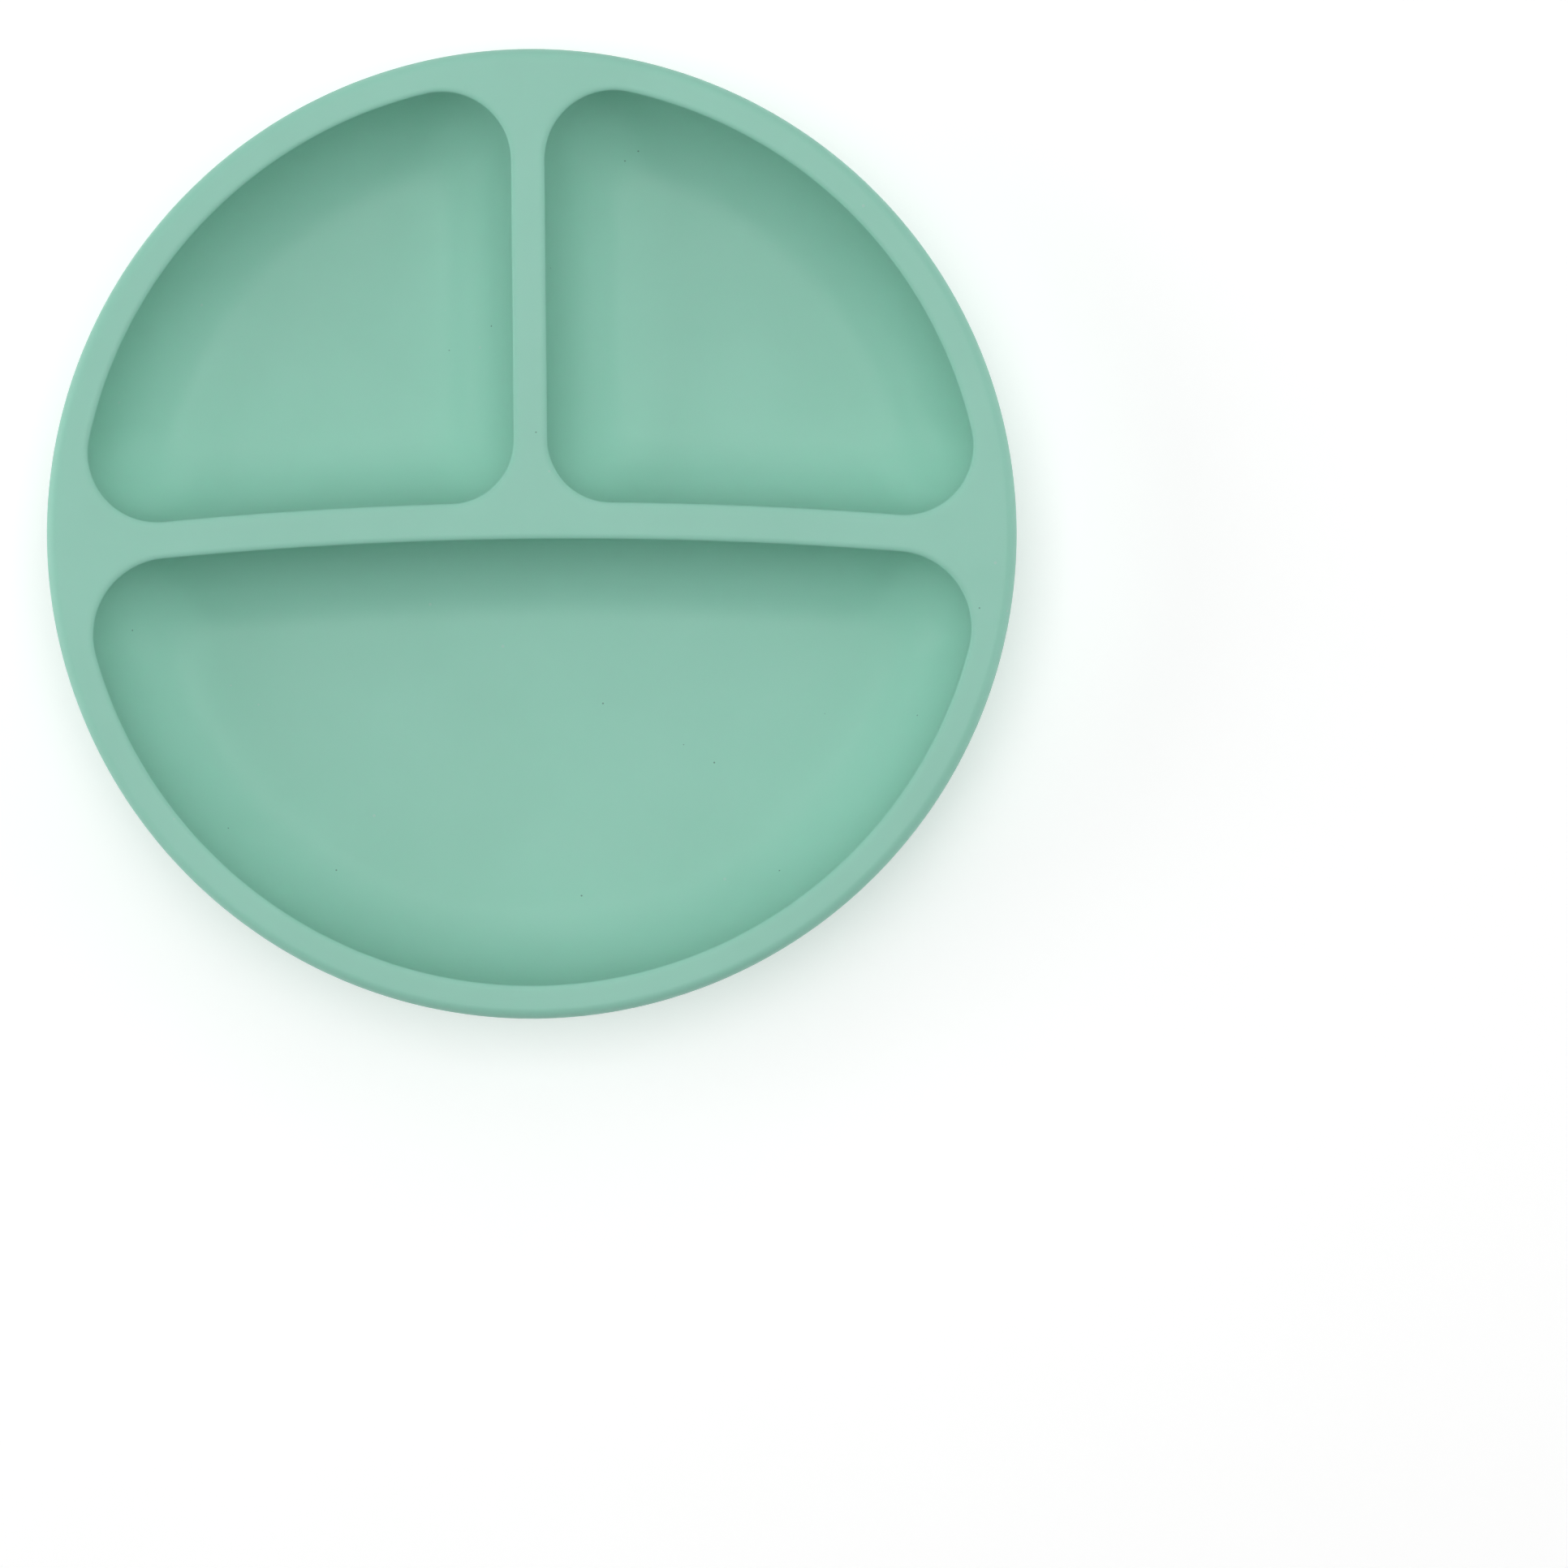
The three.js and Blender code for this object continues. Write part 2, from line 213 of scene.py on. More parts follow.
# %% [markdown]
# ## From sheets of points to one closed mesh
#
# Each surface is a grid: its rows are levels of the shape and its columns run once round it. Whole rows are worked
# out at a time, and the four corners of every face follow from the grid's numbering. A piece is one or more such
# sheets. They share their border points, so merging them closes the seams, and a row that has shrunk to one point
# becomes a neat pole. Modelling by hand could give the same look, but it wouldn't follow the measured sizes.

# %% Helpers for grids and pieces
MERGE_WITHIN = 1e-6
CREASE = math.radians(38)
FLAT_BESIDE_ROUND = 0.15


def grid_faces(rows, columns, closed=False):
    """The quads of a grid whose last column joins the first. If closed, the last row joins the first too."""
    index = np.arange(rows * columns).reshape(rows, columns)
    index = np.hstack((index, index[:, :1]))
    if closed:
        index = np.vstack((index, index[:1]))
    corners = index[:-1, :-1], index[:-1, 1:], index[1:, 1:], index[1:, :-1]
    return np.stack(corners, axis=-1).reshape(-1, 4)


def at_height(points, height):
    """Flat points lifted to one height, or to a height for each."""
    return np.column_stack((points, np.broadcast_to(height, len(points))))


def make_piece(name, sheets):
    """One closed mesh in metres from sheets of (points in millimetres, faces), with its faces turned outwards
    and its edges left sharp only where the surface really breaks."""
    points = np.vstack([sheet[0] for sheet in sheets]) * MM
    starts = np.cumsum([0] + [len(sheet[0]) for sheet in sheets])
    faces = [face for start, sheet in zip(starts, sheets)
             for face in (np.asarray(sheet[1]) + start).tolist()]
    mesh = bpy.data.meshes.new(name)
    mesh.from_pydata(points, [], faces)
    work = bmesh.new()
    work.from_mesh(mesh)
    bmesh.ops.remove_doubles(work, verts=work.verts, dist=MERGE_WITHIN)
    bmesh.ops.recalc_face_normals(work, faces=work.faces)
    open_edges = sum(not edge.is_manifold for edge in work.edges)
    volume = work.calc_volume(signed=True) / MM**3
    work.to_mesh(mesh)
    work.free()
    mesh.shade_smooth()
    mesh.set_sharp_from_angle(angle=CREASE)
    piece = bpy.data.objects.new(name, mesh)
    bpy.context.scene.collection.objects.link(piece)
    print(f"{name}: {len(mesh.polygons)} faces, {open_edges} open edges, {volume:.0f} mm3")
    return piece


def rounded(corners, steps=6):
    """A line through (x, y, cut) corners. Each corner is replaced by a parabola that leaves and joins the
    straight sides at a distance of cut, and one more point just outside it keeps the sides flat."""
    corners = np.array(corners, float)
    t = np.linspace(0, 1, steps)[:, None]
    line = []
    for before, (x, y, cut), after in zip(corners[:-2], corners[1:-1], corners[2:]):
        corner = np.array((x, y))
        back, on = (before[:2] - corner, after[:2] - corner)
        back, on = back / np.hypot(*back), on / np.hypot(*on)
        start, end = corner + cut * back, corner + cut * on
        bend = (1 - t) ** 2 * start + 2 * t * (1 - t) * corner + t**2 * end
        line += [start + FLAT_BESIDE_ROUND * cut * back, *bend, end + FLAT_BESIDE_ROUND * cut * on]
    return np.vstack((corners[:1, :2], line, corners[-1:, :2]))


# %% [markdown]
# ## Deck and bowls
#
# On the real plate the deck and the bowls are one skin of nearly even thickness, and that is how it is made here,
# because light that seeps into soft silicone must find one body and not several. Inside, a bowl is a small round at
# the mouth and then one long curve, steep at the top and level at the floor, so a spoon finds no corner. Outside it
# is a wall that leans 9 degrees, a wide fillet and a flat floor. Both faces use the same outline at different insets,
# and the floor is drawn together ring by ring to its middle. It sags a little, as a soft floor does.

# %% The faces of a bowl
EDGE_ROUNDING = (1.3, 0.6)
ROOT_FILLET = 0.6
SUPPORT = 0.3  # the width of the flat strip between a round and the deck's flat side
EDGE_ROWS = 11
WALL_ROWS = 4
FILLET_ROWS = 18
HOLLOW_ROWS = 26
HOLLOW_WIDTH = 15.5
INSIDE_FLOOR_ROWS, OUTSIDE_FLOOR_ROWS = 26, 8
FLOOR_SAG = 0.6


def lean(height):
    """How far a bowl's outer wall has leaned inwards at a height: the depth times the tangent of the draft."""
    return (DECK_TOP - height) * math.tan(DRAFT)


def inner_levels():
    """(inset, height) rows down a bowl's inner face: a short flat strip on the deck, a quarter ellipse that is
    wider than it is deep for the edge, and a large quarter ellipse, HOLLOW_WIDTH wide and as high as what is left,
    that ends level with the floor."""
    across, down = EDGE_ROUNDING
    turn = np.linspace(math.pi / 2, 0, EDGE_ROWS)
    edge = np.column_stack((across * (np.cos(turn) - 1), DECK_TOP - down * (1 - np.sin(turn))))
    turn = np.linspace(math.pi / 2, 0, HOLLOW_ROWS)[1:]
    depth = DECK_TOP - down - FLOOR_TOP
    hollow = np.column_stack((HOLLOW_WIDTH * (1 - np.sin(turn)),
                              FLOOR_TOP + depth * (1 - np.cos(turn))))
    return np.vstack(((-across - SUPPORT, DECK_TOP), edge, hollow))


def outer_levels():
    """(inset, height) rows down a bowl's outer face: a short flat strip under the deck, an arc of ROOT_FILLET from
    upright to the wall's slope, the straight wall, and a quarter turn of fillet."""
    turn = np.linspace(math.pi / 2, DRAFT, EDGE_ROWS)
    root_inset = lean(DECK_UNDERSIDE - ROOT_FILLET) - (WALL + ROOT_FILLET) / math.cos(DRAFT)
    root = np.column_stack((root_inset + ROOT_FILLET * np.cos(turn),
                            DECK_UNDERSIDE - ROOT_FILLET * (1 - np.sin(turn))))
    centre_height = FLOOR_TOP + INNER_FILLET
    wall_foot = centre_height - INNER_FILLET * math.sin(DRAFT)
    centre_inset = lean(wall_foot) + INNER_FILLET * math.cos(DRAFT)
    turn = np.linspace(math.pi / 2 - DRAFT, 0, FILLET_ROWS)
    radius = INNER_FILLET + WALL
    fillet = np.column_stack((centre_inset - radius * np.sin(turn),
                              centre_height - radius * np.cos(turn)))
    wall = np.linspace(root[-1], fillet[0], WALL_ROWS)[1:-1]
    return np.vstack(((root_inset - SUPPORT, DECK_UNDERSIDE), root, wall, fillet))


def bowl_sheet(outline, levels, floor_rows, sag):
    """A bowl's face as one grid: the outline at each level, then the last outline drawn together towards its
    middle. A row at scale s lies lower by sag times the smoothstep of 1 - s."""
    rows = [at_height(outline(inset), height) for inset, height in levels]
    rim_of_floor = outline(levels[-1][0])
    middle = rim_of_floor.mean(axis=0)
    for scale in np.linspace(1, 0, floor_rows)[1:]:
        drop = (1 - scale) ** 2 * (1 + 2 * scale)
        row = middle + scale * (rim_of_floor - middle)
        rows.append(at_height(row, levels[-1][1] - sag * drop))
    return np.vstack(rows), grid_faces(len(rows), len(rim_of_floor))


INSIDE, OUTSIDE = inner_levels(), outer_levels()
thinnest = np.hypot(*(INSIDE[:, None] - OUTSIDE).T).min()
print(f"the flat side ends {OPENING_RADIUS - INSIDE[0][0]:.2f} mm from the middle")
print(f"walls at least {thinnest:.2f} mm thick")

# %% [markdown]
# The deck's two flat sides are what is left of a disc once the three mouths are taken out. They are filled by a
# constrained Delaunay triangulation, which joins the border points as they are, so nothing new comes between the
# deck and the round edges around it. Triangles whose middle lies in a mouth are dropped.

# %% The flat sides and the edge of the deck
RIM_ROUNDING = (2.2, 2.5)
RIM_LOWER_EDGE = 0.35
RIM_STEPS = 360
RIM_STRIP = 0.5
UPPER_EDGE_ROWS, LOWER_EDGE_ROWS = 12, 5
SAME_POINT_WITHIN = 1e-7


def inside_loop(points, loop):
    """Which points a closed loop holds: those from which a level ray crosses it an odd number of times."""
    ahead = np.roll(loop, -1, axis=0)
    x, y = points[:, :1], points[:, 1:]
    spans = (loop[:, 1] > y) != (ahead[:, 1] > y)
    rise = np.where(ahead[:, 1] == loop[:, 1], 1, ahead[:, 1] - loop[:, 1])
    at = loop[:, 0] + (y - loop[:, 1]) * (ahead[:, 0] - loop[:, 0]) / rise
    return (spans & (x < at)).sum(axis=1) % 2 == 1


def flat_sheet(border, mouths, height):
    """Flat triangles between a border and the mouths inside it, all closed loops of points."""
    loops = [border, *mouths]
    points = np.vstack(loops)
    starts = np.cumsum([0] + [len(loop) for loop in loops])
    sides = [(int(start + k), int(start + (k + 1) % len(loop)))
             for start, loop in zip(starts, loops) for k in range(len(loop))]
    made = delaunay_2d_cdt([tuple(point) for point in points], sides, [], 0, SAME_POINT_WITHIN)
    points, triangles = np.array(made[0]), np.array(made[2])
    middles = points[triangles].mean(axis=1)
    open_here = np.any([inside_loop(middles, mouth) for mouth in mouths], axis=0)
    return at_height(points, height), triangles[~open_here]


def revolve(profile, steps, centre=PLATE_CENTRE):
    """(radius, height) points turned about an upright line: x = radius cos a and y = radius sin a."""
    turn = np.linspace(0, 2 * math.pi, steps, endpoint=False)
    radius, height = profile[:, :1], profile[:, 1:]
    rows = np.stack((centre[0] + radius * np.cos(turn), centre[1] + radius * np.sin(turn),
                     np.broadcast_to(height, (len(profile), steps))), axis=-1)
    return rows.reshape(-1, 3), grid_faces(len(profile), steps)


def rim_profile():
    """(radius, height) points round the deck's edge: a quarter ellipse, a short land, a small lower round."""
    across, down = RIM_ROUNDING
    turn = np.linspace(math.pi / 2, 0, UPPER_EDGE_ROWS)
    upper = np.column_stack((PLATE_RADIUS - across + across * np.cos(turn),
                             DECK_TOP - down + down * np.sin(turn)))
    turn = np.linspace(0, -math.pi / 2, LOWER_EDGE_ROWS)
    lower = np.column_stack((PLATE_RADIUS - RIM_LOWER_EDGE + RIM_LOWER_EDGE * np.cos(turn),
                             DECK_UNDERSIDE + RIM_LOWER_EDGE + RIM_LOWER_EDGE * np.sin(turn)))
    inner_top = (PLATE_RADIUS - across - RIM_STRIP, DECK_TOP)
    inner_bottom = (PLATE_RADIUS - RIM_LOWER_EDGE - RIM_STRIP, DECK_UNDERSIDE)
    return np.vstack((inner_top, upper, lower, inner_bottom))


edge_profile = rim_profile()
deck_sheets = [revolve(edge_profile, RIM_STEPS)]
for levels, border_radius in ((INSIDE, edge_profile[0][0]), (OUTSIDE, edge_profile[-1][0])):
    border = arc(PLATE_CENTRE, border_radius, 0, 2 * math.pi, RIM_STEPS)
    inset, height = levels[0]
    deck_sheets.append(flat_sheet(border, [outline(inset) for outline in OUTLINES], height))
for outline in OUTLINES:
    deck_sheets.append(bowl_sheet(outline, INSIDE, INSIDE_FLOOR_ROWS, FLOOR_SAG))
    deck_sheets.append(bowl_sheet(outline, OUTSIDE, OUTSIDE_FLOOR_ROWS, 0))
plate_shell = make_piece("plate_shell", deck_sheets)
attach(plate_shell, "plate")
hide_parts("divided_deck", "bowl_front", "bowl_back_left", "bowl_back_right")

# %% [markdown]
# ## The ring under the rim
#
# A thicker ring under the deck keeps the soft rim from curling. Outside it is a plain circle with a rounded lower
# edge. Inside it follows the bowls where they pass through it, and a smaller circle between them. So its section is
# carried round the plate while its inner radius changes with the angle, and where a bowl stands it ends in the wall.

# %% Make the ring
RING_INNER_RADIUS = 85.2
RING_ROUNDING = 1.8
RING_INNER_EDGE = 0.35
RING_OUTER_PART = 2.8  # how much of the underside's width is counted from the outside
RING_INNER_PART = 1.0  # and how much from the inner radius
RING_STEPS = 720
RING_TOP = DECK_UNDERSIDE + SUNK
RING_INTO_WALL = 0.7
NEAR_RING = 1.0  # a bowl's wall is looked at from this far inside the ring


def ring_inner_radius(turn):
    """The ring's inner radius at each angle: the larger of the inner circle's and that of any bowl's wall."""
    level = (DECK_UNDERSIDE + RING_UNDERSIDE) / 2
    radius = np.full_like(turn, RING_INNER_RADIUS)
    for outline in OUTLINES:
        wall = outline(lean(level) - WALL_ACROSS + RING_INTO_WALL)
        middle = direction(PLATE_CENTRE, wall.mean(axis=0))
        reach = np.hypot(*wall.T)
        near = reach > RING_INNER_RADIUS - NEAR_RING
        wall, reach = wall[near], reach[near]
        along = (np.arctan2(wall[:, 1], wall[:, 0]) - middle + math.pi) % (2 * math.pi) - math.pi
        order = np.argsort(along)
        here = (turn - middle + math.pi) % (2 * math.pi) - math.pi
        radius = np.maximum(radius, np.interp(here, along[order], reach[order], left=0, right=0))
    return radius


def ring_sheet():
    """The ring's section at every angle: its outer part is fixed, and its inner part is given as a distance from
    the inner radius."""
    outer = rounded([(RING_RADIUS, RING_TOP, 0), (RING_RADIUS, RING_UNDERSIDE, RING_ROUNDING),
                     (RING_RADIUS - RING_OUTER_PART, RING_UNDERSIDE, 0)], steps=10)
    inner = rounded([(RING_INNER_PART, RING_UNDERSIDE, 0), (0, RING_UNDERSIDE, RING_INNER_EDGE),
                     (0, RING_TOP, 0)])
    turn = np.linspace(0, 2 * math.pi, RING_STEPS, endpoint=False)
    outer_radius = np.repeat(outer[:, :1], RING_STEPS, axis=1)
    radius = np.vstack((outer_radius, inner[:, :1] + ring_inner_radius(turn)))
    height = np.broadcast_to(np.concatenate((outer[:, 1], inner[:, 1]))[:, None], radius.shape)
    rows = np.stack((radius * np.cos(turn), radius * np.sin(turn), height), axis=-1)
    return rows.reshape(-1, 3), grid_faces(*radius.shape, closed=True)


under_rim_ring = make_piece("under_rim_ring", [ring_sheet()])
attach(under_rim_ring, "plate")
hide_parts("rim_ring")

# %% [markdown]
# ## Bridges between the bowls
#
# Six short bridges cross the gap under the dividers and stop the bowls from spreading. Each is a block whose section
# along the divider is carried from one wall to the other. The gap widens downwards as the walls lean away, so each
# point's reach to either side depends on its own height. The ends go a little way into the walls.

# %% Make the bridges
BRIDGE_EDGE = 0.3
BRIDGE_COLUMNS = 5
low, high = box_mm("cross_tie_back_outer")
BRIDGE_LENGTH = (high - low)[1]


def bridge_sheets(centre, turn, divider_width):
    """A section in (along, height), carried across from minus reach to plus reach, where reach is half of the
    divider plus the wall's lean, less the wall."""
    half, top = BRIDGE_LENGTH / 2, DECK_UNDERSIDE + SUNK
    section = rounded([(-half, top, 0), (-half, RING_UNDERSIDE, BRIDGE_EDGE),
                       (half, RING_UNDERSIDE, BRIDGE_EDGE), (half, top, 0)])
    along, height = section.T
    reach = divider_width / 2 + lean(height) - WALL_ACROSS + SUNK
    across = np.linspace(-1, 1, BRIDGE_COLUMNS)[:, None] * reach
    x = centre[0] + across * math.cos(turn) - along * math.sin(turn)
    y = centre[1] + across * math.sin(turn) + along * math.cos(turn)
    points = np.stack((x, y, np.broadcast_to(height, across.shape)), axis=-1)
    count = len(section)
    faces = grid_faces(len(across), count)
    ends = [(points[row], [list(range(count))]) for row in (0, -1)]
    return [(points.reshape(-1, 3), faces), *ends]


bridges = []
for node in frame["nodes"]:
    if not node.startswith("cross_tie_"):
        continue
    low, high = box_mm(node)
    middle = (low + high) / 2
    on_spine = "_back_" in node
    turn = 0 if on_spine else direction(ARCH_CENTRE, middle)
    width = SPINE_WIDTH if on_spine else ARCH_WIDTH
    bridge = make_piece(node.replace("cross_tie", "bridge"), bridge_sheets(middle, turn, width))
    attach(bridge, "plate")
    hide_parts(node)
    bridges.append(bridge)

# %% [markdown]
# ## Ribs under the floors
#
# Three low ribs run under the bowls, each a bar bent along a circle about the plate's centre, with round ends and a
# rounded underside. Its outline shrinks evenly onto its own middle line, so one grid of outlines, from the floor
# down to the underside and in to the middle line, makes the whole bar and closes it.

# %% Make the ribs
RIB_WIDTH = 3.0
RIB_ROUNDING = 0.9
RIB_POINT_EVERY = 1.2
RIB_END_STEPS = 12
RIB_RANGES = {  # the radius of the middle line, and where it starts and ends in degrees
    "front": (73.6, 197, 343),
    "back_right": (75.8, 22, 72),
    "back_left": (75.8, 108, 158),
}


def rib_outline(inset, radius, start, end):
    """A bent bar's outline moved inwards by inset: an outer arc, a half circle round the end, an inner arc back,
    and a half circle round the start."""
    half = RIB_WIDTH / 2 - inset
    steps = int((end - start) / 360 * 2 * math.pi * radius / RIB_POINT_EVERY)
    start, end = math.radians(start), math.radians(end)
    tips = [(radius * math.cos(angle), radius * math.sin(angle)) for angle in (start, end)]
    return np.vstack((
        arc(PLATE_CENTRE, radius + half, start, end, steps),
        arc(tips[1], half, end, end + math.pi, RIB_END_STEPS),
        arc(PLATE_CENTRE, radius - half, end, start, steps),
        arc(tips[0], half, start + math.pi, start + 2 * math.pi, RIB_END_STEPS),
    ))


ribs = []
for place, (radius, start, end) in RIB_RANGES.items():
    node = f"grip_rib_{place}"
    underside, half = box_mm(node)[0][2], RIB_WIDTH / 2
    levels = rounded([(half, FLOOR_UNDERSIDE + SUNK, 0), (0, FLOOR_UNDERSIDE + SUNK, 0.01),
                      (0, underside, RIB_ROUNDING), (half, underside, 0)])
    rows = [at_height(rib_outline(inset, radius, start, end), height) for inset, height in levels]
    rib = make_piece(f"rib_{place}", [(np.vstack(rows), grid_faces(len(rows), len(rows[0])))])
    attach(rib, "plate")
    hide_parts(node)
    ribs.append(rib)

# %% [markdown]
# ## Suction cups
#
# A suction cup is a thin, shallow cone on a short stem, with a flat lip at its edge that seals against the table.
# It is round all over, so one profile turned about its axis makes it. When the plate is pressed down, the stem stays
# with the plate and the lip is pushed up.

# %% Make the cups
CUP_STEPS = 144
LIP_WIDTH = 1.8
LIP_THICKNESS = 0.8
LIP_STEP = 0.4
ROOT_UNDERSIDE = 3.1
NECK_FLARE = 2.2
CONE_BOW = 0.2
BLEND_TOP = 3.6


def cup_profile(radius, root_top, stem_radius, stem_end):
    """(radius, height) points from the soft disc in the middle of the underside, down the hollow of the cone to
    the lip, round its edge, and back up over the cone and the flaring neck into the plate."""
    lip = radius - LIP_WIDTH
    root = stem_radius + 0.3
    middle = (root + lip) / 2
    into_floor = FLOOR_UNDERSIDE + SUNK
    return rounded([
        (0, stem_end, 0),
        (stem_radius - 0.3, stem_end, 0.7),
        (root + 0.1, ROOT_UNDERSIDE + 0.1, 0.45),
        (middle, (ROOT_UNDERSIDE + LIP_STEP) / 2 + CONE_BOW, 2.5),
        (lip, LIP_STEP, 0.25),
        (lip + 0.12, 0, 0.12),
        (radius, 0, 0.22),
        (radius, LIP_THICKNESS, 0.3),
        (middle, (root_top + LIP_THICKNESS) / 2 + CONE_BOW, 2.5),
        (stem_radius, root_top, NECK_FLARE),
        (stem_radius, into_floor, 0.02),
        (0, into_floor, 0),
    ], steps=9)


cups = []
for place in ("front_left", "front_right", "back_left", "back_right"):
    low, high = box_mm(f"suction_cup_{place}")
    stem_low, stem_high = box_mm(f"cup_stem_{place}")
    centre = (low + high) / 2
    profile = cup_profile((high - low)[0] / 2, high[2], (stem_high - stem_low)[0] / 2, stem_low[2])
    cup = make_piece(f"cup_{place}_whole", [revolve(profile, CUP_STEPS, centre)])
    blend_top, blend_foot = ((centre[0] * MM, centre[1] * MM, height * MM) for height in (BLEND_TOP, 0))
    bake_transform(cup)
    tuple(blend_top)
    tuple(blend_foot)
    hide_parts(f"suction_cup_{place}", f"cup_stem_{place}")
    cups.append(cup)

# %% [markdown]
# ## A small language for materials
#
# Materials are built from nodes, and sums of nodes are hard to read when each one is added by hand. So a number that
# varies over the surface is wrapped in a class whose plus and times signs add the Math nodes, and every other node
# comes from one method that takes its type, its settings and its sockets.

# %% Values that vary over a surface
MIX_FACTOR, MIX_A, MIX_B, MIX_RESULT = 0, 6, 7, 2


class Value:
    """A number that varies over a surface, as the output socket of a node."""

    def __init__(self, paint, socket):
        self.paint = paint
        self.socket = socket

    def math(self, operation, *terms):
        """A Math node's answer for the terms."""
        return self.paint.value("ShaderNodeMath", {"operation": operation}, dict(enumerate(terms)))

    def __add__(self, other):
        return self.math("ADD", self, other)

    def __mul__(self, other):
        return self.math("MULTIPLY", self, other)

    __radd__ = __add__
    __rmul__ = __mul__


class Paint:
    """A material that is being built, with its shader and the place of each point on the object."""

    def __init__(self, name):
        self.material = bpy.data.materials.new(name)
        self.material.use_nodes = True
        self.tree = self.material.node_tree
        self.shader = self.tree.nodes["Principled BSDF"]
        self.place = self.add("ShaderNodeTexCoord").outputs["Object"]

    def add(self, kind, settings=None, sockets=None):
        """A node of a kind. Its settings come first, because some of them change which sockets it has."""
        node = self.tree.nodes.new(kind)
        for name, setting in (settings or {}).items():
            setattr(node, name, setting)
        self.feed(node, sockets or {})
        return node

    def feed(self, node, sockets):
        """Gives a node's sockets their links or plain values."""
        for name, wanted in sockets.items():
            wanted = wanted.socket if isinstance(wanted, Value) else wanted
            if isinstance(wanted, bpy.types.NodeSocket):
                self.tree.links.new(wanted, node.inputs[name])
            else:
                node.inputs[name].default_value = wanted

    def value(self, kind, settings=None, sockets=None, output=0):
        """One output of a new node, wrapped as a number."""
        return Value(self, self.add(kind, settings, sockets).outputs[output])

    def noise(self, size, detail=2.0):
        """Cloudy noise whose clouds are about size millimetres across, around 0.5."""
        return self.value("ShaderNodeTexNoise", {},
                          {"Vector": self.place, "Scale": 1 / (size * MM), "Detail": detail})

    def specks(self, spacing, radius, shift):
        """1 in small round specks and 0 elsewhere: where the nearest of points scattered through space at about
        the spacing is closer than the radius."""
        moved = self.value("ShaderNodeMapping", {}, {"Vector": self.place, "Location": (shift, shift, 0)})
        far = self.value("ShaderNodeTexVoronoi", {}, {"Vector": moved, "Scale": 1 / (spacing * MM)}, "Distance")
        return self.between(far, 1.15 * radius / spacing, 0.85 * radius / spacing)

    def between(self, value, low, high):
        """0 where a value is at low, 1 where it is at high, and a smooth step between them."""
        return self.value("ShaderNodeMapRange", {"interpolation_type": "SMOOTHSTEP"},
                          {"Value": value, "From Min": low, "From Max": high})

    def mix(self, factor, first, second):
        """The first colour where factor is 0 and the second where it is 1."""
        node = self.add("ShaderNodeMix", {"data_type": "RGBA"},
                        {MIX_FACTOR: factor, MIX_A: first, MIX_B: second})
        return node.outputs[MIX_RESULT]


# %% [markdown]
# ## Plate silicone
#
# Food-grade silicone is a satin, slightly waxy rubber. Its colour is even, but pigment and light skin oil give it
# faint clouds, and its surface takes the fine satin of the mould. It also picks up dust: a few dark specks and a
# little pale lint. Under the skin light scatters for a millimetre or two, which softens the shading in the corners.

# %% Paint the plate silicone
MINT = (0.303, 0.624, 0.502, 1)
MINT_LIGHT = (0.314, 0.642, 0.519, 1)
DUST = (0.06, 0.10, 0.085, 1)
LINT = (0.46, 0.62, 0.56, 1)
SCATTER = (1.0, 1.6, 1.3)


def plate_silicone():
    """Two close mints in broad clouds, with dust and lint over them. The roughness is a base, a larger share of the
    smudges and a small share of the grain, and the grain also lifts the surface by a hair."""
    paint = Paint("plate_silicone_satin")
    clouds = paint.noise(38, 3)
    grain = paint.noise(0.55, 2)
    smudge = paint.noise(14, 4)
    colour = paint.mix(paint.between(clouds, 0.35, 0.65), MINT, MINT_LIGHT)
    colour = paint.mix(0.6 * paint.specks(10, 0.18, 0.3), colour, DUST)
    colour = paint.mix(0.5 * paint.specks(11, 0.3, 0.7), colour, LINT)
    roughness = 0.39 + 0.12 * smudge + 0.05 * grain
    bump = paint.add("ShaderNodeBump", {}, {"Height": grain, "Strength": 0.35, "Distance": 0.02 * MM})
    paint.feed(paint.shader, {
        "Base Color": colour,
        "Roughness": roughness,
        "Normal": bump.outputs[0],
        "IOR": 1.41,
        "Subsurface Weight": 0.35,
        "Subsurface Radius": SCATTER,
        "Subsurface Scale": 1.2 * MM,
    })
    return paint.material


# %% [markdown]
# ## Cup silicone
#
# The cups are pressed against a polished part of the mould, because a suction cup only holds if its skin is smooth.
# They are thin and a little clearer than the plate, so light passes through them and they look paler and glossy.

# %% Paint the cup silicone
CUP_MINT = (0.300, 0.640, 0.520, 1)
CUP_MINT_LIGHT = (0.318, 0.660, 0.542, 1)


def cup_silicone():
    """Two close mints in small clouds, with a little dust. The roughness is a low base and a share of the smudges,
    and soft ripples lift the surface."""
    paint = Paint("cup_silicone_polished")
    clouds = paint.noise(9, 3)
    ripple = paint.noise(5, 1)
    smudge = paint.noise(2.5, 4)
    colour = paint.mix(paint.between(clouds, 0.35, 0.65), CUP_MINT, CUP_MINT_LIGHT)
    colour = paint.mix(0.7 * paint.specks(7, 0.12, 0.1), colour, DUST)
    roughness = 0.13 + 0.12 * smudge
    bump = paint.add("ShaderNodeBump", {}, {"Height": ripple, "Strength": 0.3, "Distance": 0.05 * MM})
    paint.feed(paint.shader, {
        "Base Color": colour,
        "Roughness": roughness,
        "Normal": bump.outputs[0],
        "IOR": 1.45,
        "Subsurface Weight": 0.5,
        "Subsurface Radius": SCATTER,
        "Subsurface Scale": 1.5 * MM,
    })
    return paint.material


plate_finish, cup_finish = plate_silicone(), cup_silicone()
for piece in (plate_shell, under_rim_ring, *bridges, *ribs):
    piece.data.materials.append(plate_finish)
for cup in cups:
    cup.data.materials.append(cup_finish)
print("finishes:", plate_finish.name, "and", cup_finish.name)

